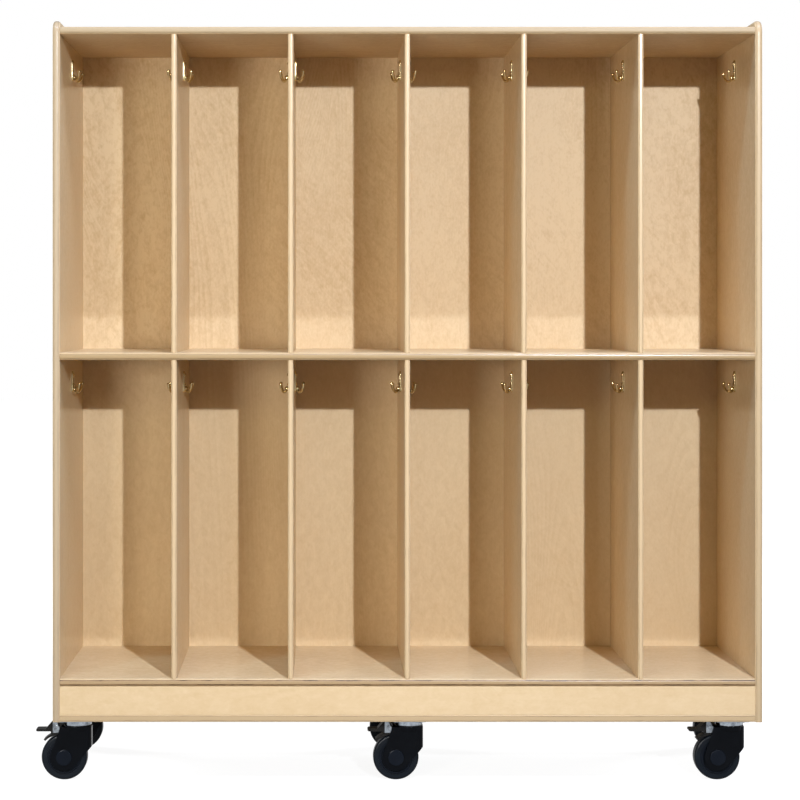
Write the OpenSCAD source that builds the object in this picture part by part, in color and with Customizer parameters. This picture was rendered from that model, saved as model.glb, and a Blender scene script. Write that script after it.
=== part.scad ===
// Mobile coat locker: an open plywood carcass with twelve sections, brass hooks and braked casters.
// Millimetres. +Z is up, +X is to the right seen from the front, the front faces -Y.
// The origin is on the floor at the centre of the footprint.

/* [Cabinet] */
// Width across the two side panels
cabinet_w = 1188; // [1000:1:1500]
// Depth from the side panels' front edges to the back
cabinet_d = 381; // [340:1:500]
// Clear height of one section
opening_h = 534; // [400:1:700]
// Height of the plinth rails
plinth_h = 48; // [30:1:90]
// How far the side panels rise above the top panel
side_lip = 11; // [6:0.5:20]

/* [Plywood] */
// Thickness of the sides, top, shelves, rails and base board
panel_t = 12; // [11:0.5:18]
// Thickness of the dividers
divider_t = 9; // [8:0.5:12]
// Thickness of the back panel
back_t = 6; // [4:0.5:9]
// Depth of the shelf grooves in the side panels
side_groove = 4; // [2:0.5:5]
// How far the top panel's end tongues are lowered below its top
top_shoulder = 4; // [2:0.5:6]
// Depth of the divider grooves in the shelves
divider_groove = 3; // [2:0.5:4]
// How far the back panel laps into the side panels
back_lap = 6; // [3:0.5:8]
// Rounding of the front edges of sides, top and shelves
panel_round = 5; // [1:0.5:5]
// Rounding of the front edges of the dividers
divider_round = 3.5; // [1:0.5:4]
// Rounding of the front edge of the base board
base_round = 2; // [0.5:0.5:4]
// Radius of the side panels' top front corner
corner_r = 20; // [8:1:40]
// Setback of the shelf edges behind the side panels
shelf_inset = 2; // [0:0.5:6]
// Setback of the divider edges behind the shelf edges
divider_inset = 2; // [0:0.5:6]
// Setback of the front rail and base board behind the side panels
rail_inset = 3; // [0:0.5:10]
// Length of the ungrooved stretch behind each front edge
groove_stop = 14; // [10:1:30]
// Clearance between glued pieces
joint_gap = 0.1; // [0.05:0.05:0.3]

/* [Hooks] */
// Distance from the side panels' front edges to the hooks
hook_depth = 190; // [80:1:250]
// Distance from the ceiling of a section to the top of a hook plate
hook_drop = 24; // [18:1:120]
// Height of the hook plate
hook_plate_h = 37; // [34:0.5:44]
// Width of the hook plate
hook_plate_w = 12; // [11:0.5:16]
// Thickness of the hook plate
hook_plate_t = 2.8; // [2.4:0.1:3.6]
// Rounding of the hook plate's outer edge
hook_edge_r = 1.2; // [0.4:0.1:1.2]
// Radius of the knuckle that joins the prongs to the plate
knuckle_r = 4.3; // [4:0.1:5]
// How far a prong's end sits inside the knuckle
prong_root = 1.1; // [0.8:0.1:1.4]
// Radius of the prongs
prong_r = 2.2; // [1.8:0.1:2.4]
// Radius of the ball at a prong's tip
prong_ball_r = 2.8; // [2.6:0.1:4]
// Radius of a prong's bend
prong_bend_r = 17; // [12:0.5:20]
// How steeply a prong leaves the knuckle downwards
prong_dip = 47; // [35:1:55]
// How steeply a prong rises to its tip
prong_rise = 80; // [50:1:90]
// Angle between a prong and the wall
prong_splay = 22; // [16:1:35]

/* [Screws] */
// Shank radius of the hook screws
hook_screw_r = 1.5; // [1:0.1:1.8]
// Head radius of the hook screws
hook_screw_head_r = 3; // [2.6:0.1:3.3]
// Head height of the hook screws
hook_screw_head_h = 1.6; // [1:0.1:2]
// Distance from a hook plate's top to its upper screw
hook_screw_drop = 6; // [5:0.1:7]
// Wood left between the screws of two hooks that share a divider
hook_screw_rest = 0.6; // [0.4:0.1:2]
// Shank radius of the caster plate screws
plate_screw_r = 2.4; // [2:0.1:2.8]
// Head radius of the caster plate screws
plate_screw_head_r = 4.5; // [4:0.1:5]
// Head height of the caster plate screws
plate_screw_head_h = 2.4; // [1.5:0.1:2.6]
// Wood left above a caster plate screw
plate_screw_rest = 2; // [0.5:0.5:4]
// Clearance round a screw
screw_gap = 0.1; // [0.05:0.05:0.2]

/* [Caster places] */
// Height of a caster from the floor to its plate's top
caster_h = 105; // [104:0.5:115]
// Distance from the left side panel's outside to the left swivel axes
caster_inset_left = 37; // [36:0.5:80]
// Distance from the right side panel's outside to the right swivel axes
caster_inset_right = 46.5; // [36:0.5:80]
// Distance of the middle swivel axes to the right of the cabinet's middle
caster_shift_middle = 4; // [-10:0.5:10]
// Distance from the front or the back to the swivel axis
caster_inset_y = 55; // [48:0.5:90]

/* [Caster plate and bearing] */
// Plate size across the cabinet
plate_x = 56; // [54:0.5:64]
// Plate size along the cabinet's depth
plate_y = 82; // [80:0.5:95]
// Plate thickness
plate_t = 2.5; // [2:0.1:3.5]
// Plate corner radius
plate_corner_r = 5; // [2:0.5:7]
// Hole spacing across the cabinet
plate_hole_x = 38; // [34:0.5:42]
// Hole spacing along the cabinet's depth
plate_hole_y = 62; // [58:0.5:66]
// Radius of the pressed raceway under the plate
race_r = 23.5; // [22:0.1:24]
// Depth of the pressed raceway under the plate
race_h = 9.5; // [7:0.1:9.8]
// Radius of the bearing balls
ball_r = 2.4; // [2:0.1:2.6]
// Radius of the ring of balls
ball_ring_r = 16; // [14:0.1:17]
// Number of balls in a ring
ball_count = 14; // [8:1:15]
// Gap between the plate's raceway and the fork's crown
race_gap = 2; // [1:0.1:2.5]
// Clearance round each ball
ball_gap = 0.1; // [0.05:0.05:0.2]
// Radius of the kingpin
kingpin_r = 5; // [4:0.1:6]
// Radius of the kingpin's lower head
kingpin_head_r = 8.5; // [7:0.1:9.5]
// Height of the kingpin's lower head
kingpin_head_h = 2.5; // [1.5:0.1:3]

/* [Fork] */
// Distance from the swivel axis to the wheel axis
trail = 22; // [20:0.5:23]
// Radius of the fork's crown
crown_r = 24; // [23:0.5:28]
// Thickness of the fork's crown
crown_t = 3; // [2.6:0.1:4]
// Depth of the crown's skirt
skirt_h = 3; // [2:0.1:4]
// Thickness of the fork's legs
leg_t = 2.5; // [2:0.1:3]
// Gap between the wheel and a leg
leg_gap = 2.6; // [2.5:0.1:4]
// How far the legs run ahead of the crown at their top
leg_lead = 4; // [0:0.5:4.5]
// Plan radius of the fork's rounded spine
spine_r = 10; // [6:0.5:14]
// Height of the spine's lower end above the floor
heel_z = 56; // [50:0.5:66]
// Radius of a leg's round end
leg_end_r = 22; // [16:0.5:26]
// Radius of the pressed dimple on a leg
dimple_r = 6; // [4:0.5:8]
// Height of the pressed dimple on a leg
dimple_h = 1.2; // [0.5:0.1:2]
// Height of the dimple above the wheel axis
dimple_rise = 31; // [26:0.5:36]
// Distance of the dimple from the wheel axis towards the spine
dimple_shift = 9; // [2:0.5:14]
// Running clearance between turning round pieces
running_gap = 0.05; // [0.02:0.01:0.1]
// End float between turning pieces
end_float = 0.3; // [0.3:0.05:0.6]

/* [Wheel] */
// Wheel diameter
wheel_d = 77; // [74:0.5:78]
// Wheel width over the tyre
wheel_w = 24; // [20:0.5:28]
// Radius where the tyre sits on the core
core_r = 29; // [25:0.5:32]
// Rounding of the tyre's shoulders
tyre_round = 4; // [1:0.5:5]
// Width of the core's rim
core_rim_w = 22; // [16:0.5:23]
// Wall of the core's rim
core_rim_t = 4; // [2:0.5:6]
// Thickness of the core's web
core_web_t = 16; // [8:0.5:18]
// Radius of the core's hub
core_hub_r = 10; // [8:0.5:14]
// Radius of the axle
axle_r = 4; // [3:0.1:5]
// Radius of the hub caps
cap_r = 13.5; // [10:0.5:16]
// Height of the hub caps
cap_h = 2.8; // [2.4:0.1:4]
// Depth of the axle's end in a hub cap
cap_socket = 1.4; // [1:0.1:1.6]
// Rounding of the hub caps' edge
cap_round = 1.2; // [0.5:0.1:1.8]

/* [Brake] */
// Distance of the pedal's pivot from the wheel axis, away from the spine
pivot_shift = 11.5; // [10:0.5:13]
// Height of the pedal's pivot above the tyre
pivot_lift = 11.4; // [10.5:0.1:12.5]
// Radius of the pivot pin
pivot_r = 2.5; // [2:0.1:3]
// Radius of the pivot pin's heads
pivot_head_r = 4; // [3.5:0.1:5]
// Height of the pivot pin's heads
pivot_head_h = 1.2; // [0.8:0.1:2]
// Thickness of the bracket's cheeks
cheek_t = 2; // [1.5:0.1:2.1]
// Height of a cheek above the pivot
cheek_rise = 10.2; // [8:0.1:11]
// Depth of a cheek below the pivot
cheek_fall = 8.4; // [7:0.1:9]
// Reach of a cheek from the pivot towards the pedal's tip
cheek_front = 7.5; // [6:0.1:9]
// Width of a cheek at its top
cheek_top_w = 6.7; // [5:0.1:9]
// Reach of a cheek's slope from the pivot towards the spine
cheek_slope = 5.1; // [4:0.1:6]
// Reach of a cheek's tab from the pivot towards the spine
tab_reach = 17.5; // [15:0.1:18]
// Gap between the pedal and a cheek
pedal_side_gap = 0.5; // [0.3:0.1:2]
// Radius of the pedal's hub
pedal_hub_r = 6; // [4.5:0.1:6.5]
// Height of the pedal's hump above the pivot
pedal_hump = 10.4; // [8:0.1:10.8]
// Width of the pedal's hump
pedal_hump_w = 6.8; // [4:0.1:8]
// Setback of the pedal's hump behind the cheeks' front edges
hump_setback = 1; // [0:0.1:2]
// Angle below the pivot's level at which the hump's back meets the hub
hump_lean = 15; // [5:1:30]
// Distance from the pivot to the foot blade
blade_start = 14.4; // [12:0.1:16]
// Distance from the pivot to the foot of the hump's ramp
ramp_foot = 20; // [18:0.1:24]
// Distance from the pivot to the blade's tip
pedal_reach = 36.5; // [30:0.5:42]
// Width of the foot blade
blade_w = 25; // [20:0.5:36]
// Thickness of the foot blade
blade_t = 4; // [3:0.5:6]
// Drop of the foot blade's middle below the pivot
blade_drop = 4.5; // [3:0.1:5.5]
// Radius of the foot blade's corners
blade_corner_r = 5; // [2:0.5:7]
// How far the pedal tilts until the brake is on
pedal_throw = 6; // [4:0.5:8]
// Gap left between the brake shoe and the tyre when the brake is on
shoe_gap = 0.4; // [0.3:0.05:1]
// Thickness of the brake shoe
shoe_t = 3.5; // [3:0.1:4.5]
// Angle round the wheel axis at which the shoe starts
shoe_start = 104; // [104:1:108]
// Angle round the wheel axis at which the shoe's root ends
shoe_root = 118; // [114:1:124]
// Angle round the wheel axis at which the shoe ends
shoe_end = 140; // [130:1:142]

/* [Hidden] */
$fn = 64;
columns = 6;
caster_names = ["front_left", "front_centre", "front_right", "rear_left", "rear_centre", "rear_right"];
caster_columns = [0, 1, 2, 0, 1, 2];
caster_rows = [-1, -1, -1, 1, 1, 1];
caster_headings = [0, 0, 0, 0, 0, 180];
casters = [0 : len(caster_names) - 1];
dividers = [1 : columns - 1];

// Carcass levels, from the caster plates up
front_y = -cabinet_d / 2;
rear_y = cabinet_d / 2;
plinth_z = caster_h + panel_t;
floor_z = plinth_z + plinth_h;
lower_z = floor_z + panel_t;
middle_z = lower_z + opening_h;
upper_z = middle_z + panel_t;
top_z = upper_z + opening_h;
side_top = top_z + panel_t + side_lip;

// Carcass widths and depths
inner_w = cabinet_w - 2 * panel_t;
cell_w = (inner_w - (columns - 1) * divider_t) / columns;
back_y = rear_y - back_t;
shelf_y = front_y + shelf_inset;
shelf_d = back_y - joint_gap - shelf_y;
divider_y = shelf_y + divider_inset;
divider_d = back_y - joint_gap - divider_y;
rail_y = front_y + rail_inset;
rail_h = plinth_h - 2 * joint_gap;

// Hook levels, from the plate's top down
knuckle_z = hook_plate_w / 2 - hook_plate_h;
lower_screw_z = knuckle_z + knuckle_r + hook_screw_head_r + screw_gap;
hook_screw_bite = (divider_t - hook_screw_rest) / 2;
prong_start = knuckle_r - prong_root;
plate_screw_bite = panel_t - plate_screw_rest;

// Swivel axes from left to right
caster_x = [caster_inset_left - cabinet_w / 2, caster_shift_middle, cabinet_w / 2 - caster_inset_right];

// Caster levels, from the plate down
plate_z = caster_h - plate_t;
race_z = plate_z - race_h;
crown_z = race_z - race_gap;
crown_under = crown_z - crown_t;
ball_z = crown_z + race_gap / 2;
wheel_r = wheel_d / 2;
leg_in = wheel_w / 2 + leg_gap;
leg_out = leg_in + leg_t;
cheek_out = leg_in - joint_gap;
cheek_in = cheek_out - cheek_t;
pivot_rise = wheel_r + pivot_lift;
shoe_r = wheel_r + shoe_gap;
tab_top = crown_under - skirt_h - 2 * end_float - wheel_r - pivot_rise;
hump_x = pedal_hump_w - cheek_front - hump_setback;
cut = 1;

// Left face of a section's left wall, and left face of a divider
function cell_x(column) = -inner_w / 2 + (column - 1) * (cell_w + divider_t);
function divider_x(i) = cell_x(i) + cell_w;
// Direction from a round end's centre to the tangent point of a line from the point p
function tangent_angle(p, r, side) = atan2(p[1], p[0]) + side * acos(r / norm(p));
function on_circle(r, a) = [r * cos(a), r * sin(a)];

// Board section: nose at y = 0 with two rounded corners, thickness along x
module nosed_section(depth, thick, r) {
    translate([0, r])
        square([thick, depth - r]);
    if (thick > 2 * r)
        translate([r, 0])
            square([thick - 2 * r, r]);
    for (x = [r, thick - r])
        translate([x, r])
            circle(r);
}

// Level board with its nose at y = 0
module board(length, depth, thick, r) {
    translate([-length / 2, 0, 0])
        rotate([90, 0, 90])
            linear_extrude(length)
                mirror([1, -1])
                    nosed_section(depth, thick, r);
}

// Centred block across x, from a depth and a height
module block(width, y, z, depth, height) {
    translate([-width / 2, y, z])
        cube([width, depth, height]);
}

module rounded_rectangle(x, y, r) {
    square([x - 2 * r, y], center = true);
    square([x, y - 2 * r], center = true);
    for (i = [-1, 1])
        for (j = [-1, 1])
            translate([i * (x / 2 - r), j * (y / 2 - r)])
                circle(r);
}

// Grooves for dividers, upwards from z, along a shelf
module divider_grooves(z) {
    for (i = dividers)
        translate([divider_x(i) - joint_gap, divider_y + groove_stop, z])
            cube([divider_t + 2 * joint_gap, cabinet_d, divider_groove + joint_gap]);
}

// Outline of a side panel with a rounded top front corner and rounded edges, thickness along +x
module side_blank() {
    translate([0, front_y, caster_h])
        linear_extrude(side_top - corner_r - caster_h)
            nosed_section(cabinet_d, panel_t, panel_round);
    translate([0, rear_y, side_top - corner_r])
        rotate([90, 0, 0])
            linear_extrude(cabinet_d - corner_r)
                translate([0, corner_r])
                    mirror([0, 1])
                        nosed_section(corner_r, panel_t, panel_round);
    translate([0, front_y + corner_r, side_top - corner_r])
        rotate([180, 0, 0])
            rotate([0, 90, 0])
                rotate_extrude(angle = 90)
                    translate([corner_r, 0])
                        rotate(90)
                            nosed_section(corner_r, panel_t, panel_round);
}

// Stopped groove in the left side panel for a shelf's end tongue
module side_groove(z, tongue_t) {
    translate([-inner_w / 2 - side_groove - joint_gap, shelf_y + groove_stop, z - joint_gap])
        cube([side_groove + panel_t, cabinet_d, tongue_t + 2 * joint_gap]);
}

// Left side panel with its shelf grooves, back rabbet and hook screw holes
module side_panel() {
    color("burlywood")
        difference() {
            translate([-cabinet_w / 2, 0, 0])
                side_blank();
            side_groove(floor_z, panel_t);
            side_groove(middle_z, panel_t);
            side_groove(top_z, panel_t - top_shoulder);
            translate([-inner_w / 2 - back_lap, back_y - joint_gap, caster_h - panel_t])
                cube([back_lap + panel_t, cabinet_d, top_z + 2 * panel_t - caster_h + joint_gap]);
            hook_holes(-inner_w / 2, 1);
        }
}

module side_panel_left() {
    side_panel();
}

module side_panel_right() {
    mirror([1, 0, 0])
        side_panel();
}

// Shelf with end tongues for the side grooves
module shelf_blank(z) {
    translate([0, shelf_y, z])
        board(inner_w - 2 * joint_gap, shelf_d, panel_t, panel_round);
    block(inner_w + 2 * side_groove, shelf_y + groove_stop + joint_gap, z,
        shelf_d - groove_stop - joint_gap, panel_t);
}

module top_panel() {
    color("burlywood")
        difference() {
            shelf_blank(top_z);
            divider_grooves(top_z);
            for (side = [0, 1])
                mirror([side, 0, 0])
                    translate([inner_w / 2 - joint_gap, front_y, top_z + panel_t - top_shoulder])
                        cube([panel_t, cabinet_d, panel_t]);
        }
}

module middle_shelf() {
    color("burlywood")
        difference() {
            shelf_blank(middle_z);
            divider_grooves(middle_z);
            divider_grooves(upper_z - divider_groove - joint_gap);
        }
}

module bottom_shelf() {
    color("burlywood")
        difference() {
            shelf_blank(floor_z);
            divider_grooves(lower_z - divider_groove - joint_gap);
        }
}

module base_board() {
    color("burlywood")
        difference() {
            translate([0, rail_y, caster_h])
                board(inner_w - 2 * joint_gap, back_y - joint_gap - rail_y, panel_t, base_round);
            for (c = casters)
                at_caster(c)
                    plate_screw_places()
                        cylinder(h = caster_h + plate_screw_bite + screw_gap, r = plate_screw_r + screw_gap);
        }
}

module rail(y) {
    color("burlywood")
        block(inner_w - 2 * joint_gap, y, plinth_z + joint_gap, panel_t, rail_h);
}

module front_rail() {
    rail(rail_y);
}

module rear_rail() {
    rail(back_y - joint_gap - panel_t);
}

module back_panel() {
    color("wheat")
        block(inner_w + 2 * back_lap - 2 * joint_gap, back_y, caster_h,
            back_t, top_z + panel_t - caster_h);
}

// Divider standing on the shelf at height z, with tongues for both grooves
module divider(i, z) {
    color("burlywood")
        difference() {
            union() {
                translate([divider_x(i), divider_y, z + joint_gap])
                    linear_extrude(opening_h - 2 * joint_gap)
                        nosed_section(divider_d, divider_t, divider_round);
                translate([divider_x(i), divider_y + groove_stop + joint_gap, z - divider_groove])
                    cube([divider_t, divider_d - groove_stop - joint_gap, opening_h + 2 * divider_groove]);
            }
            hook_holes(divider_x(i), -1);
            hook_holes(divider_x(i) + divider_t, 1);
        }
}

// Hook places: a child is placed on a wall, x away from it, z = 0 at the plate's top
module on_wall(x, z, side) {
    translate([x, front_y + hook_depth, z + opening_h - hook_drop])
        mirror([side < 0 ? 1 : 0, 0, 0])
            children();
}

module at_hooks() {
    for (z = [lower_z, upper_z])
        for (column = [1 : columns]) {
            on_wall(cell_x(column), z, 1)
                children();
            on_wall(cell_x(column) + cell_w, z, -1)
                children();
        }
}

module at_hook_screws() {
    for (z = [-hook_screw_drop, lower_screw_z])
        translate([0, 0, z])
            rotate([0, 90, 0])
                children();
}

// Screw holes of both hooks on one face of an upright, side 1 for a face that looks to +x
module hook_holes(x, side) {
    for (z = [lower_z, upper_z])
        on_wall(x, z, side)
            at_hook_screws()
                translate([0, 0, -hook_screw_bite - screw_gap])
                    cylinder(h = hook_screw_bite + panel_t, r = hook_screw_r + screw_gap);
}

// Half section of the strap: half width along x, thickness along y, outer edge rounded
module strap_half_section() {
    half = hook_plate_w / 2;
    square([half, hook_plate_t - hook_edge_r]);
    square([half - hook_edge_r, hook_plate_t]);
    translate([half - hook_edge_r, hook_plate_t - hook_edge_r])
        circle(hook_edge_r);
}

// Strap with round ends, back on the wall at x = 0, top at z = 0
module hook_plate() {
    end_z = -hook_plate_w / 2;
    translate([0, 0, knuckle_z])
        linear_extrude(end_z - knuckle_z)
            mirror([1, -1])
                for (side = [0, 1])
                    mirror([side, 0])
                        strap_half_section();
    translate([0, 0, end_z])
        rotate([0, 90, 0])
            rotate_extrude(angle = 180, start = 90)
                strap_half_section();
    translate([0, 0, knuckle_z])
        rotate([0, 90, 0])
            rotate_extrude(angle = 180, start = -90)
                strap_half_section();
}

// One prong in the plane of x and z: a bend from inside the knuckle down, out and up to its ball
module prong() {
    knuckle_end = 270 - prong_dip;
    ball_end = 270 + prong_rise;
    clear_of_twin = asin(prong_start / prong_bend_r);
    centre = -on_circle(prong_bend_r, knuckle_end);
    ball = centre + on_circle(prong_bend_r, ball_end);
    translate([centre[0], 0, centre[1]])
        rotate([90, 0, 0])
            rotate_extrude(angle = ball_end - knuckle_end - clear_of_twin, start = knuckle_end + clear_of_twin)
                translate([prong_bend_r, 0])
                    circle(prong_r);
    translate([ball[0], 0, ball[1]])
        sphere(prong_ball_r);
}

module hook() {
    difference() {
        union() {
            hook_plate();
            translate([knuckle_r + joint_gap, 0, knuckle_z]) {
                sphere(knuckle_r);
                for (side = [0, 1])
                    mirror([0, side, 0])
                        rotate([0, 0, 90 - prong_splay])
                            prong();
            }
        }
        at_hook_screws()
            translate([0, 0, -cut])
                cylinder(h = hook_plate_t + 2 * cut, r = hook_screw_r + screw_gap);
    }
}

module coat_hooks() {
    color("goldenrod")
        at_hooks()
            hook();
}

// Round-head screw: seat at z = 0, head upwards, shank downwards
module screw(shank_r, shank_l, head_r, head_h) {
    dome_r = (head_r * head_r + head_h * head_h) / (2 * head_h);
    translate([0, 0, -shank_l])
        cylinder(h = shank_l + head_h / 2, r = shank_r);
    intersection() {
        cylinder(h = head_h + cut, r = head_r);
        translate([0, 0, head_h - dome_r])
            sphere(dome_r);
    }
}

module hook_screws() {
    color("gold")
        at_hooks()
            at_hook_screws()
                translate([0, 0, hook_plate_t])
                    screw(hook_screw_r, hook_plate_t + hook_screw_bite, hook_screw_head_r, hook_screw_head_h);
}

// Caster frame: swivel axis on z, wheel trailing to -x, floor at z = 0
module at_caster(c) {
    y = cabinet_d / 2 - caster_inset_y;
    translate([caster_x[caster_columns[c]], caster_rows[c] * y, 0])
        children();
}

module at_fork(c) {
    at_caster(c)
        rotate([0, 0, caster_headings[c]])
            children();
}

module at_wheel(c) {
    at_fork(c)
        translate([-trail, 0, wheel_r])
            rotate([90, 0, 0])
                children();
}

module plate_screw_places() {
    for (i = [-1, 1])
        for (j = [-1, 1])
            translate([i * plate_hole_x / 2, j * plate_hole_y / 2, 0])
                children();
}

// Half of the ball track, cut into either race
module ball_track() {
    translate([0, 0, ball_z])
        rotate_extrude()
            translate([ball_ring_r, 0])
                circle(ball_r + ball_gap);
}

// Plate with the pressed raceway under it
module caster_plate() {
    difference() {
        union() {
            translate([0, 0, plate_z])
                linear_extrude(plate_t)
                    rounded_rectangle(plate_x, plate_y, plate_corner_r);
            translate([0, 0, race_z])
                cylinder(h = race_h + plate_t / 2, r = race_r);
        }
        ball_track();
        translate([0, 0, race_z - cut])
            cylinder(h = caster_h, r = kingpin_r + joint_gap);
        translate([0, 0, plate_z])
            cylinder(h = plate_t, r1 = kingpin_r + joint_gap, r2 = kingpin_r + plate_t + joint_gap);
        plate_screw_places()
            translate([0, 0, plate_z - cut])
                cylinder(h = plate_t + 2 * cut, r = plate_screw_r + screw_gap);
    }
}

module caster_plates() {
    color("silver")
        for (c = casters)
            at_caster(c)
                caster_plate();
}

// Rivet with a countersunk top and a flat lower head
module kingpin() {
    head_z = crown_under - end_float - kingpin_head_h;
    translate([0, 0, head_z])
        cylinder(h = kingpin_head_h, r = kingpin_head_r);
    translate([0, 0, head_z])
        cylinder(h = caster_h - head_z, r = kingpin_r);
    translate([0, 0, plate_z])
        cylinder(h = plate_t, r1 = kingpin_r, r2 = kingpin_r + plate_t);
}

module swivel_bearings() {
    color("silver")
        for (c = casters)
            at_caster(c) {
                kingpin();
                for (i = [1 : ball_count])
                    rotate([0, 0, i * 360 / ball_count])
                        translate([ball_ring_r, 0, ball_z])
                            sphere(ball_r);
            }
}

module plate_screws() {
    color("silver")
        for (c = casters)
            at_caster(c)
                plate_screw_places()
                    translate([0, 0, plate_z])
                        mirror([0, 0, 1])
                            screw(plate_screw_r, plate_t + plate_screw_bite, plate_screw_head_r, plate_screw_head_h);
}

// Side outline of the fork's legs, origin at the wheel axis, x towards the spine
module leg_outline() {
    front = [trail - crown_r - leg_lead, crown_z - wheel_r];
    top = [trail + crown_r, crown_z - wheel_r];
    heel = [trail + crown_r, heel_z - wheel_r];
    front_touch = on_circle(leg_end_r, tangent_angle(front, leg_end_r, 1));
    heel_touch = on_circle(leg_end_r, tangent_angle(heel, leg_end_r, -1));
    polygon([front, top, heel, heel_touch, [0, 0], front_touch]);
    circle(leg_end_r);
}

// Plan of the fork's bent sheet, inset from its outside, running on past the wheel
module fork_plan(inset) {
    reach = crown_r - inset;
    half = leg_out - inset;
    r = spine_r - inset;
    tail = trail + wheel_d;
    translate([-tail, -half])
        square([tail + reach - r, 2 * half]);
    translate([-tail, r - half])
        square([tail + reach, 2 * (half - r)]);
    for (side = [-1, 1])
        translate([reach - r, side * (half - r)])
            circle(r);
}

module fork(c) {
    color("dimgray")
        at_fork(c)
            difference() {
                union() {
                    intersection() {
                        linear_extrude(crown_z - crown_t / 2)
                            difference() {
                                fork_plan(0);
                                fork_plan(leg_t);
                            }
                        translate([-trail, leg_out + cut, wheel_r])
                            rotate([90, 0, 0])
                                linear_extrude(2 * (leg_out + cut))
                                    leg_outline();
                    }
                    translate([0, 0, crown_under])
                        cylinder(h = crown_t, r = crown_r);
                    translate([0, 0, crown_under - skirt_h])
                        difference() {
                            cylinder(h = skirt_h + crown_t / 2, r = crown_r);
                            translate([0, 0, -cut])
                                cylinder(h = skirt_h + cut, r = crown_r - leg_t);
                        }
                    for (side = [-1, 1])
                        translate([dimple_shift - trail, side * (leg_out - leg_t / 2), wheel_r + dimple_rise])
                            rotate([-90 * side, 0, 0])
                                cylinder(h = leg_t / 2 + dimple_h, r = dimple_r);
                }
                ball_track();
                translate([0, 0, crown_under - cut])
                    cylinder(h = crown_t + 2 * cut, r = kingpin_r + running_gap);
                translate([-trail, leg_out + cut, wheel_r])
                    rotate([90, 0, 0])
                        cylinder(h = 2 * (leg_out + cut), r = axle_r + joint_gap);
                translate([-trail - pivot_shift, leg_out + cut, wheel_r + pivot_rise])
                    rotate([90, 0, 0])
                        cylinder(h = 2 * (leg_out + cut), r = pivot_head_r + end_float);
            }
}

// Hub cap with a rounded edge, its back at z = 0 and a socket for the axle's end
module hub_cap() {
    difference() {
        rotate_extrude() {
            square([cap_r - cap_round, cap_h]);
            square([cap_r, cap_h - cap_round]);
            translate([cap_r - cap_round, cap_h - cap_round])
                circle(cap_round);
        }
        translate([0, 0, -cut])
            cylinder(h = cap_socket + cut + joint_gap, r = axle_r + joint_gap);
    }
}

module axle(c) {
    color("dimgray")
        at_wheel(c) {
            cylinder(h = 2 * (leg_out + cap_socket), r = axle_r, center = true);
            for (side = [0, 1])
                mirror([0, 0, side])
                    translate([0, 0, leg_out + joint_gap])
                        hub_cap();
        }
}

// Core: hub, dished web and rim, turned as one profile
module wheel(c) {
    hub_half = leg_in - end_float;
    color("dimgray")
        at_wheel(c)
            rotate_extrude()
                difference() {
                    union() {
                        translate([0, -hub_half])
                            square([core_hub_r, 2 * hub_half]);
                        translate([0, -core_web_t / 2])
                            square([core_r - core_rim_t / 2, core_web_t]);
                        translate([core_r - core_rim_t, -core_rim_w / 2])
                            square([core_rim_t, core_rim_w]);
                    }
                    translate([0, -leg_out])
                        square([axle_r + running_gap, 2 * leg_out]);
                }
}

module tyre(c) {
    seat_r = core_r + joint_gap;
    half = wheel_w / 2;
    color("dimgray")
        at_wheel(c)
            rotate_extrude() {
                translate([seat_r, -half])
                    square([wheel_r - tyre_round - seat_r, wheel_w]);
                translate([seat_r, tyre_round - half])
                    square([wheel_r - seat_r, wheel_w - 2 * tyre_round]);
                for (side = [-1, 1])
                    translate([wheel_r - tyre_round, side * (half - tyre_round)])
                        circle(tyre_round);
            }
}

module at_pivot(c) {
    at_wheel(c)
        translate([-pivot_shift, pivot_rise, 0])
            children();
}

// Side outline of the bracket's cheeks, origin at the pivot, x towards the spine
module cheek_outline() {
    polygon([
        [-cheek_front, cheek_rise],
        [cheek_top_w - cheek_front, cheek_rise],
        [cheek_slope, tab_top],
        [tab_reach, tab_top],
        [tab_reach, -cheek_fall],
        [-cheek_front, -cheek_fall]
    ]);
}

// Two cheeks joined by a strap, and the pivot pin with a head outside each cheek
module brake_bracket(c) {
    color("silver")
        at_pivot(c) {
            difference() {
                union() {
                    for (side = [-1, 1])
                        translate([0, 0, side * (cheek_in + cheek_t / 2)])
                            linear_extrude(cheek_t, center = true)
                                cheek_outline();
                    translate([tab_reach - cheek_t, -cheek_fall, -cheek_out])
                        cube([cheek_t, tab_top + cheek_fall, 2 * cheek_out]);
                }
                cylinder(h = 4 * leg_out, r = pivot_r + joint_gap, center = true);
            }
            cylinder(h = 2 * leg_in, r = pivot_r, center = true);
            for (side = [0, 1])
                mirror([0, 0, side])
                    translate([0, 0, leg_in])
                        cylinder(h = pivot_head_h, r = pivot_head_r);
        }
}

module ring_sector(inner, outer, from, to) {
    far = 2 * outer;
    intersection() {
        difference() {
            circle(outer);
            circle(inner);
        }
        polygon([[0, 0], on_circle(far, from), on_circle(far, to)]);
    }
}

// Brake shoe and its root on the tread, brake on, origin at the wheel axis
module shoe_outline() {
    ring_sector(shoe_r, shoe_r + shoe_t, shoe_start, shoe_end);
    ring_sector(shoe_r + shoe_t / 2, norm([pivot_shift, pivot_rise]), shoe_start, shoe_root);
}

// Side outline of the pedal's hub, hump and ramp, origin at the pivot
module pedal_outline() {
    circle(pedal_hub_r);
    polygon([
        [-ramp_foot, blade_t / 2 - blade_drop],
        [hump_x - pedal_hump_w, pedal_hump],
        [hump_x, pedal_hump],
        on_circle(pedal_hub_r, -hump_lean),
        [0, -pedal_hub_r],
        [-blade_start, -blade_t / 2 - blade_drop]
    ]);
}

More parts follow.
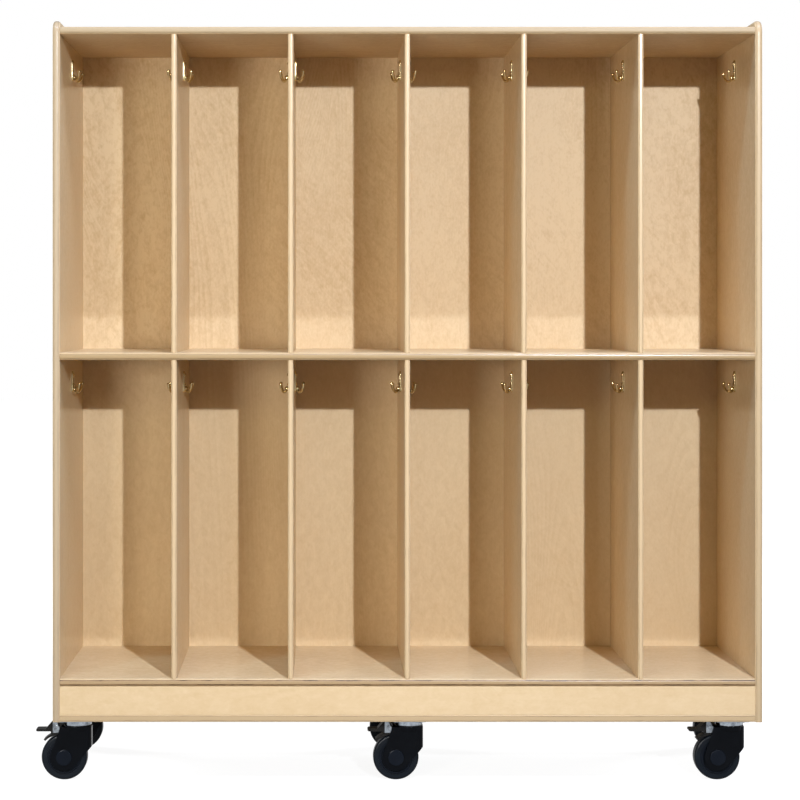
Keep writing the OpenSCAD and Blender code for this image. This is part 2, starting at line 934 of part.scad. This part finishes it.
// Foot blade with a round tip and rounded plan corners, origin at the pivot
module pedal_blade() {
    tip = blade_t / 2 - pedal_reach;
    intersection() {
        linear_extrude(blade_w, center = true)
            translate([tip, -blade_drop]) {
                circle(blade_t / 2);
                translate([0, -blade_t / 2])
                    square([-tip - blade_start, blade_t]);
            }
        translate([0, pedal_reach, 0])
            rotate([90, 0, 0])
                linear_extrude(2 * pedal_reach)
                    rounded_rectangle(2 * pedal_reach, blade_w, blade_corner_r);
    }
}

module brake_pedal(c) {
    color("dimgray")
        at_pivot(c)
            difference() {
                union() {
                    linear_extrude(2 * (cheek_in - pedal_side_gap), center = true) {
                        pedal_outline();
                        rotate(-pedal_throw)
                            translate([pivot_shift, -pivot_rise])
                                shoe_outline();
                    }
                    pedal_blade();
                }
                cylinder(h = 2 * blade_w, r = pivot_r + running_gap, center = true);
            }
}

side_panel_left();
side_panel_right();
top_panel();
middle_shelf();
bottom_shelf();
base_board();
front_rail();
rear_rail();
back_panel();
for (i = dividers) {
    divider(i, upper_z);
    divider(i, lower_z);
}
coat_hooks();
hook_screws();
caster_plates();
swivel_bearings();
plate_screws();
for (c = casters) {
    fork(c);
    axle(c);
    brake_bracket(c);
    wheel(c);
    tyre(c);
    brake_pedal(c);
}
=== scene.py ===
"""Looks of the mobile coat locker: birch plywood, brass hooks, braked casters, studio and camera."""
import math

import bpy
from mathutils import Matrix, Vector


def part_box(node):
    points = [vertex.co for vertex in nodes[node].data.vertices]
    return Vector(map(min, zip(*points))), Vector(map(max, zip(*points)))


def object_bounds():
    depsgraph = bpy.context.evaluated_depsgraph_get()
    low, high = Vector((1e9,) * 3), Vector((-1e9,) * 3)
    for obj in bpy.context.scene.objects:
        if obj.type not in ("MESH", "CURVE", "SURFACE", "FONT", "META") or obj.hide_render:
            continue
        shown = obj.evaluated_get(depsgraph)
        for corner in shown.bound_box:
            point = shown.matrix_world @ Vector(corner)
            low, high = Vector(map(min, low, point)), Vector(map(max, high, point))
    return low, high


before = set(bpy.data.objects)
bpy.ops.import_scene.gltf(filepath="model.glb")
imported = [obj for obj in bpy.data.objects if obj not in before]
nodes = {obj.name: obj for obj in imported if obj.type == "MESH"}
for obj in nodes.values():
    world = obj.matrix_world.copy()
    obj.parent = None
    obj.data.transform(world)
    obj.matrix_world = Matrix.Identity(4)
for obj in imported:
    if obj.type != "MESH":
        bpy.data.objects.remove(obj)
cad_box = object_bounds()
scene = bpy.context.scene
scene.view_settings.view_transform = "Standard"

X, Y, Z = 0, 1, 2
FRONT_Y = cad_box[0][Y]
CASTERS = ("front_left", "front_centre", "front_right", "rear_left", "rear_centre", "rear_right")


# Node helpers

class Tree:
    """Short calls for building a material's or the world's node tree."""

    def __init__(self, owner):
        owner.use_nodes = True
        self.tree = owner.node_tree
        self.tree.nodes.clear()

    def add(self, kind, inputs=None, **settings):
        node = self.tree.nodes.new(kind)
        for key, value in settings.items():
            setattr(node, key, value)
        for key, value in (inputs or {}).items():
            self.put(node.inputs[key], value)
        return node

    def put(self, socket, value):
        if isinstance(value, bpy.types.NodeSocket):
            self.tree.links.new(value, socket)
        else:
            socket.default_value = value

    def math(self, operation, *values):
        node = self.add("ShaderNodeMath", operation=operation)
        for socket, value in zip(node.inputs, values):
            self.put(socket, value)
        return node.outputs[0]

    def plus(self, a, b):
        return self.math("ADD", a, b)

    def minus(self, a, b):
        return self.math("SUBTRACT", a, b)

    def times(self, a, b):
        return self.math("MULTIPLY", a, b)

    def larger(self, a, b):
        return self.math("MAXIMUM", a, b)

    def size(self, a):
        return self.math("ABSOLUTE", a)

    def ramp(self, value, low, high, to_low=0.0, to_high=1.0):
        """Smooth step from to_low at low to to_high at high; low may be the larger of the two."""
        node = self.add("ShaderNodeMapRange", interpolation_type="SMOOTHSTEP")
        for key, v in (("Value", value), ("From Min", low), ("From Max", high),
                       ("To Min", to_low), ("To Max", to_high)):
            self.put(node.inputs[key], v)
        return node.outputs["Result"]

    def mix(self, factor, a, b):
        node = self.add("ShaderNodeMix", data_type="RGBA")
        self.put(node.inputs["Factor"], factor)
        self.put(node.inputs[6], a)
        self.put(node.inputs[7], b)
        return node.outputs[2]

    def vector(self, x, y, z):
        return self.add("ShaderNodeCombineXYZ", {"X": x, "Y": y, "Z": z}).outputs[0]

    def point(self):
        return self.add("ShaderNodeTexCoord").outputs["Object"]

    def noise(self, vector, scale=1.0, detail=2.0, roughness=0.5, distortion=0.0):
        node = self.add("ShaderNodeTexNoise", {
            "Vector": vector, "Scale": scale, "Detail": detail, "Roughness": roughness,
            "Distortion": distortion})
        return node.outputs["Fac"]

    def bump(self, height, strength, distance):
        return self.add("ShaderNodeBump", {
            "Height": height, "Strength": strength, "Distance": distance}).outputs[0]

    def surface(self, **inputs):
        shader = self.add("ShaderNodeBsdfPrincipled")
        for key, value in inputs.items():
            self.put(shader.inputs[key.replace("_", " ")], value)
        self.finish("ShaderNodeOutputMaterial", shader)

    def finish(self, kind, shader):
        self.tree.links.new(shader.outputs[0], self.add(kind).inputs["Surface"])


def rgb(r, g, b):
    return (r, g, b, 1.0)


def new_material(name):
    material = bpy.data.materials.new(name)
    return material, Tree(material)


def dress(node, material):
    obj = nodes[node]
    obj.data.materials.clear()
    obj.data.materials.append(material)


# Birch plywood

PALE = rgb(0.702, 0.531, 0.314)
FIGURE = rgb(0.513, 0.334, 0.158)
PLY_DARK = rgb(0.215, 0.126, 0.056)
PLY_VOID = rgb(0.050, 0.025, 0.011)
VENEER = 0.0012                    # thickness of the face veneer, m
MID_HEIGHT = 0.717                 # the figure changes strength at the middle shelf, m
MID_BLEND = 0.05                   # half the height over which it does, m
SEED_STEP, FACE_STEP = 7.31, 3.7   # noise offsets between boards, and between a board's two faces
CLOUD, FIBRE, FLECK = 0.75, 0.22, 0.55        # weights of the veneer's marks
MOTTLE, CURL, RING = 0.95, 0.60, 0.16
RINGS, RING_DRIFT = 74.0, 14.0     # contour lines over the noise's range, and more to the metre
CROSS_PLY = 0.30                   # dark cross plies, as a share of the thickness off the middle
CROSS_EDGE, CROSS_FULL = 0.11, 0.05           # half widths of a cross ply, same share
GAP_EDGE, GAP_FULL = 0.07, 0.03    # half widths of a core gap
WAVE, WAVE_STEP = 0.22, 3.1        # how far the plies waver, and the noise offset between boards
SPECKS, GAPS = 0.30, 0.9           # strengths at full ply contrast
WOOD_SPECULAR = 0.15
WOOD_BUMP, WOOD_BUMP_M = 0.08, 0.0003


def birch(name, through, along, middle, thickness, seed,
          core, contrast, veneer, figure, coat, gloss):
    """Varnished birch plywood. through and along are the axes of the thickness and face grain."""
    material, t = new_material(name)
    across = X + Y + Z - through - along
    axes = t.add("ShaderNodeSeparateXYZ", {"Vector": t.point()}).outputs
    u, v = axes[along], axes[across]
    w = t.minus(axes[through], middle)
    layer = t.plus(seed * SEED_STEP, t.times(t.math("SIGN", w), FACE_STEP))

    def field(per_v, per_u, shift=0.0, **settings):
        """Noise over the face, with so many features to the metre across and along the grain."""
        return t.noise(t.vector(t.times(v, per_v), t.times(u, per_u), t.plus(layer, shift)),
                       **settings)

    def edge_field(per_uv, per_w, **settings):
        """Noise over the edges, with so many features to the metre along and through the board."""
        return t.noise(t.vector(t.times(u, per_uv), t.times(v, per_uv), t.times(w, per_w)),
                       **settings)

    def about(value, weight):
        return t.times(t.minus(value, 0.5), weight)

    # Face veneer: clouds, contour lines of rotary-cut veneer, slanting curl, mottle, flecks, fibres
    cloud = field(6.0, 2.6, detail=2.0, roughness=0.6)
    calm = t.ramp(field(2.4, 1.3, 23.0, detail=0.0), 0.35, 0.65, 0.6, 1.25)
    contour = field(3.6, 0.6, 5.0, detail=1.5, roughness=0.45, distortion=0.9)
    rings = t.math("FRACT", t.plus(t.times(contour, RINGS), t.times(v, RING_DRIFT)))
    ring_line = t.times(t.ramp(rings, 0.15, 0.88), t.ramp(rings, 1.0, 0.90))
    ring_where = t.ramp(field(4.5, 1.6, 11.0, detail=1.0), 0.40, 0.66)
    slant = t.plus(t.times(v, 62.0), t.times(u, 48.0))
    curl = t.noise(t.vector(slant, t.times(u, 30.0), layer), detail=2.0, distortion=1.6)
    curl_where = t.ramp(field(9.0, 4.0, 17.0, detail=1.0), 0.42, 0.66)
    mottle = field(85.0, 52.0, 29.0, detail=3.0, roughness=0.62, distortion=0.5)
    fleck = field(300.0, 150.0, 3.0, detail=2.0, roughness=0.6)
    fibre = field(430.0, 20.0, detail=2.0, roughness=0.6)
    marks = about(cloud, CLOUD)
    for term in (about(fibre, FIBRE), about(fleck, FLECK),
                 t.times(about(mottle, MOTTLE), calm),
                 t.times(about(curl, CURL), curl_where),
                 t.times(t.times(ring_line, ring_where), RING)):
        marks = t.plus(marks, term)
    lively = t.ramp(axes[Z], MID_HEIGHT - MID_BLEND, MID_HEIGHT + MID_BLEND, *figure)
    # The veneer depth given per board is partly painted light, lightest on the left side panel as a
    # painted sheen
    deep = t.plus(veneer, t.times(marks, lively))
    face = t.mix(t.larger(deep, 0.0), PALE, FIGURE)

    # Edges: two wavy dark cross plies of uneven strength, specks and a few core gaps
    wave = t.noise(t.vector(t.times(u, 9.0), t.times(v, 9.0), seed * WAVE_STEP),
                   detail=3.0, roughness=0.6)
    wavy = t.plus(t.math("DIVIDE", w, thickness), about(wave, WAVE))
    band = t.size(t.minus(t.size(wavy), CROSS_PLY))
    uneven = edge_field(22.0, 160.0, detail=3.0, roughness=0.6)
    speck = t.ramp(edge_field(240.0, 900.0, detail=2.0), 0.52, 0.75)
    cross = t.times(t.ramp(band, CROSS_EDGE, CROSS_FULL), t.ramp(uneven, 0.28, 0.58, 0.45, 1.0))
    gap = t.times(t.ramp(band, GAP_EDGE, GAP_FULL), t.ramp(uneven, 0.49, 0.58))
    # The ply colour given per board is partly painted highlight, lighter on the dividers and the
    # right side panel
    edge = t.mix(t.times(cross, contrast), core, PLY_DARK)
    edge = t.mix(t.times(speck, SPECKS * contrast), edge, PLY_DARK)
    edge = t.mix(t.times(gap, GAPS * contrast), edge, PLY_VOID)

    half = thickness / 2
    skin = t.ramp(t.size(w), half - VENEER * 1.25, half - VENEER * 0.75)
    grain = t.plus(t.times(fibre, 0.5), t.times(fleck, 0.6))
    t.surface(Base_Color=t.mix(skin, edge, face), Roughness=t.ramp(fleck, 0.25, 0.75, 0.48, 0.62),
              Specular_IOR_Level=WOOD_SPECULAR, Coat_Weight=coat, Coat_Roughness=gloss,
              Normal=t.bump(grain, WOOD_BUMP, WOOD_BUMP_M))
    return material


RAIL_PLY = rgb(0.585, 0.417, 0.232)
# Dividers' ply colour: the wood's edge tone made lighter as a painted highlight, where the key lamp
# from the right catches their front edges
DIVIDER_PLY_AND_HIGHLIGHT = rgb(0.553, 0.394, 0.220)
BOARDS = (
    # node, thickness axis, grain axis, ply colour, ply contrast, veneer depth,
    # figure in the lower and upper row, coat, coat roughness
    # Left side panel: veneer depth near nothing, so its face is lighter, a painted sheen for its
    # inner face
    ("side_panel_left", X, Z, rgb(0.430, 0.318, 0.192), 0.14, 0.02, (0.8, 0.8), 0.55, 0.20),
    # Right side panel: its ply colour is lighter than the left's, a painted highlight of the key
    # lamp on its front edge
    ("side_panel_right", X, Z, rgb(0.480, 0.345, 0.195), 0.18, 0.19, (0.7, 0.8), 0.40, 0.20),
    ("top_panel", Z, X, rgb(0.390, 0.286, 0.165), 0.10, 0.42, (0.9, 0.9), 0.20, 0.40),
    ("middle_shelf", Z, X, rgb(0.365, 0.246, 0.118), 0.22, 0.17, (0.9, 0.9), 0.60, 0.20),
    ("bottom_shelf", Z, X, rgb(0.395, 0.264, 0.133), 1.00, 0.17, (0.8, 0.8), 0.40, 0.25),
    ("base_board", Z, X, rgb(0.475, 0.337, 0.184), 0.22, 0.20, (0.6, 0.6), 0.30, 0.35),
    ("front_rail", Y, X, RAIL_PLY, 0.40, 0.36, (0.45, 0.45), 0.30, 0.35),
    ("rear_rail", Y, X, RAIL_PLY, 0.40, 0.20, (0.6, 0.6), 0.30, 0.35),
    ("back_panel", Y, Z, RAIL_PLY, 0.50, 0.17, (0.65, 1.35), 0.30, 0.45),
) + tuple((f"{row}_divider_{i}", X, Z, DIVIDER_PLY_AND_HIGHLIGHT, 0.22, 0.17, (0.8, 1.0), 0.45, 0.20)
          for row in ("upper", "lower") for i in range(1, 6))
for seed, (node, through, along, *looks) in enumerate(BOARDS, 1):
    low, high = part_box(node)
    thickness = high[through] - low[through]
    middle = (high[through] + low[through]) / 2
    dress(node, birch("birch_" + node, through, along, middle, thickness, seed, *looks))


# Metals, plastics and rubber

METAL_BUMP = 0.02
HARDWARE_BUMP_M = 0.0002
FINE_RATIO = 14        # a metal's fine grain against its clouds
MOULDED_CLOUD = 30.0   # clouds of wear on plastic and rubber, to the metre


def point_noise(t, scale, detail=3.0):
    return t.noise(t.point(), scale, detail, 0.55)


def uneven_roughness(t, cloud, fine, share, low, high):
    """Roughness from low to high, a share of it following the clouds and the rest the fine grain."""
    return t.ramp(t.plus(t.times(cloud, share), t.times(fine, 1 - share)), 0.25, 0.75, low, high)


def metal(name, clean, dull, roughness, grain):
    material, t = new_material(name)
    cloud = point_noise(t, grain)
    fine = point_noise(t, grain * FINE_RATIO)
    t.surface(Base_Color=t.mix(t.ramp(cloud, 0.35, 0.75), clean, dull), Metallic=1.0,
              Roughness=uneven_roughness(t, cloud, fine, 0.6, roughness * 0.75, roughness * 1.35),
              Normal=t.bump(fine, METAL_BUMP, HARDWARE_BUMP_M))
    return material


def moulded(name, base, worn, roughness, specular, grain, bump):
    material, t = new_material(name)
    cloud = point_noise(t, MOULDED_CLOUD)
    fine = point_noise(t, grain, 2.0)
    t.surface(Base_Color=t.mix(t.ramp(cloud, 0.40, 0.80), base, worn),
              Roughness=uneven_roughness(t, cloud, fine, 0.5, roughness * 0.8, roughness * 1.25),
              Specular_IOR_Level=specular, Normal=t.bump(fine, bump, HARDWARE_BUMP_M))
    return material


brass = metal("brass", rgb(0.74, 0.63, 0.38), rgb(0.46, 0.37, 0.19), roughness=0.15, grain=110.0)
zinc = metal("zinc", rgb(0.50, 0.54, 0.57), rgb(0.18, 0.20, 0.22), roughness=0.16, grain=95.0)
dull_zinc = metal("dull_zinc", rgb(0.36, 0.39, 0.41), rgb(0.12, 0.13, 0.14),
                  roughness=0.22, grain=150.0)
black_steel = moulded("black_steel", rgb(0.0022, 0.0028, 0.0040), rgb(0.0036, 0.0045, 0.0062),
                      roughness=0.18, specular=0.07, grain=900.0, bump=0.03)
black_plastic = moulded("black_plastic", rgb(0.005, 0.007, 0.011), rgb(0.008, 0.010, 0.015),
                        roughness=0.24, specular=0.07, grain=700.0, bump=0.03)
pedal_plastic = moulded("pedal_plastic", rgb(0.010, 0.009, 0.008), rgb(0.016, 0.014, 0.012),
                        roughness=0.34, specular=0.10, grain=600.0, bump=0.06)
tyre_rubber = moulded("tyre_rubber", rgb(0.0055, 0.008, 0.0115), rgb(0.008, 0.0105, 0.0145),
                      roughness=0.32, specular=0.09, grain=500.0, bump=0.05)

hardware = {"coat_hooks": brass, "hook_screws": brass, "caster_plates": zinc,
            "swivel_bearings": zinc, "plate_screws": zinc}
for caster in CASTERS:
    hardware.update({
        "fork_" + caster: black_steel, "axle_" + caster: black_plastic,
        "brake_bracket_" + caster: dull_zinc, "wheel_" + caster: black_plastic,
        "tyre_" + caster: tyre_rubber, "brake_pedal_" + caster: pedal_plastic})
for node, material in hardware.items():
    dress(node, material)


# Floor and world

WHITE = rgb(1, 1, 1)
FLOOR_SIZE = 30.0
FLOOR_GREY = rgb(0.20, 0.20, 0.20)
FLOOR_GLOSS = 0.60               # brightness of the white floor in reflections
NEAR, FAR, NEAR_GLOW = 0.9, 1.9, 0.90   # the floor glows less up to NEAR m, so that shadows show
WORLD_LIGHT, WORLD_TINT = 0.07, rgb(1.0, 0.43, 0.21)
WORLD_GLOSS = 0.25               # brightness of the white background in reflections


def white_where_seen(t, in_reflections):
    """1 for camera and transmission rays, in_reflections for glossy rays; also both kinds apart."""
    path = t.add("ShaderNodeLightPath").outputs
    direct = t.larger(path["Is Camera Ray"], path["Is Transmission Ray"])
    glossy = path["Is Glossy Ray"]
    return t.larger(direct, t.times(glossy, in_reflections)), t.larger(direct, glossy)


def make_floor():
    material, t = new_material("floor")
    shown, _ = white_where_seen(t, FLOOR_GLOSS)
    away = t.add("ShaderNodeVectorMath", {0: t.point()}, operation="LENGTH").outputs["Value"]
    diffuse = t.add("ShaderNodeBsdfDiffuse", {"Color": FLOOR_GREY})
    glow = t.add("ShaderNodeEmission", {
        "Color": WHITE, "Strength": t.times(shown, t.ramp(away, NEAR, FAR, NEAR_GLOW, 1.0))})
    t.finish("ShaderNodeOutputMaterial",
             t.add("ShaderNodeAddShader", {0: diffuse.outputs[0], 1: glow.outputs[0]}))
    mesh = bpy.data.meshes.new("floor")
    h = FLOOR_SIZE / 2
    mesh.from_pydata([(-h, -h, 0), (h, -h, 0), (h, h, 0), (-h, h, 0)], [], [(0, 1, 2, 3)])
    mesh.materials.append(material)
    floor = bpy.data.objects.new("floor", mesh)
    scene.collection.objects.link(floor)


def make_world():
    """White to the camera and in reflections; dim and warm as light."""
    scene.world = bpy.data.worlds.new("studio")
    t = Tree(scene.world)
    shown, seen = white_where_seen(t, WORLD_GLOSS)
    t.finish("ShaderNodeOutputWorld", t.add("ShaderNodeBackground", {
        "Color": t.mix(seen, WORLD_TINT, WHITE), "Strength": t.larger(shown, WORLD_LIGHT)}))


make_floor()
make_world()


# Lamps

KEY_X, KEY_Y = 0.962, FRONT_Y - 4.383
FILL_X, FILL_Y = -1.109, FRONT_Y - 2.402
FILL_TARGET = (-0.15, 0.0, 0.80)
FILL_COLOUR = (1.0, 0.975, 0.935)
REAR_X = 3.2


def make_light(name, kind, place, target, power, mirrored=True, **settings):
    """A lamp aimed at target. Reflections show it only where mirrored is true."""
    light = bpy.data.lights.new(name, kind)
    light.energy = power
    for key, value in settings.items():
        setattr(light, key, value)
    obj = bpy.data.objects.new(name, light)
    obj.location = place
    obj.rotation_euler = (Vector(target) - obj.location).to_track_quat("-Z", "Y").to_euler()
    obj.visible_glossy = mirrored
    scene.collection.objects.link(obj)
    return obj


make_light("key", "SPOT", (KEY_X, KEY_Y, 1.903), (0.20, 0.0, 1.08), power=768.0,
           spot_size=math.radians(46), spot_blend=1.0, shadow_soft_size=0.035,
           color=(0.857, 0.908, 1.0))
make_light("high", "AREA", (KEY_X, KEY_Y, 6.9), (0.0, FRONT_Y, 0.5), power=315.0,
           shape="DISK", size=0.12, color=(0.717, 0.808, 1.0))
make_light("fill", "AREA", (FILL_X, FILL_Y, 0.78), FILL_TARGET, power=30.4, mirrored=False,
           shape="RECTANGLE", size=0.50, size_y=0.45, color=FILL_COLOUR)
make_light("front", "AREA", (-0.60, FRONT_Y - 3.9, 1.75), (0.0, 0.0, 0.80), power=12.6,
           mirrored=False, shape="RECTANGLE", size=1.6, size_y=0.5, color=(1.0, 0.976, 0.64))
make_light("top", "AREA", (0.70, FRONT_Y - 0.8, 2.9), (0.4, FRONT_Y, 0.2), power=42.0,
           shape="RECTANGLE", size=2.4, size_y=0.4, color=(0.55, 0.66, 1.0))
make_light("top_left", "AREA", (-1.2, FRONT_Y - 1.2, 3.2), (-0.4, FRONT_Y, 0.2), power=22.4,
           shape="DISK", size=0.22, color=(0.456, 0.706, 1.0))

# Rear lamps stand behind the open front, so they reach only the back and the outer sides
for name, side in (("rear_left", -1), ("rear_right", 1)):
    make_light(name, "AREA", (side * REAR_X, 1.6, 1.3), (0.0, 0.19, 0.75), power=105.0,
               mirrored=False, shape="RECTANGLE", size=0.8, size_y=0.8, color=(0.90, 0.95, 1.0))

# The fill's reflection, in the hooks and casters alone, so that it doesn't glare on the varnish
glint = make_light("glint", "AREA", (FILL_X, FILL_Y, 1.08), FILL_TARGET, power=150.0,
                   shape="RECTANGLE", size=1.30, size_y=0.45, color=FILL_COLOUR)
glint.visible_diffuse = False
glint.light_linking.receiver_collection = bpy.data.collections.new("glint_receivers")
for node in hardware:
    glint.light_linking.receiver_collection.objects.link(nodes[node])


# Camera, solved from the photo

IMAGE_PX = 800
FOCAL_PX = 2276.0
VANISH_X_PX, VANISH_Y_PX = 322.0, 305.0
SENSOR_MM = 36.0
CAMERA_PLACE = (-0.143, FRONT_Y - 3.806, 0.803)
camera = bpy.data.cameras.new("camera")
camera.sensor_width = SENSOR_MM
camera.lens = FOCAL_PX / IMAGE_PX * SENSOR_MM
camera.shift_x = (IMAGE_PX / 2 - VANISH_X_PX) / IMAGE_PX
camera.shift_y = (VANISH_Y_PX - IMAGE_PX / 2) / IMAGE_PX
camera_object = bpy.data.objects.new("camera", camera)
camera_object.location = CAMERA_PLACE
camera_object.rotation_euler = (math.pi / 2, 0, 0)
scene.collection.objects.link(camera_object)
scene.camera = camera_object
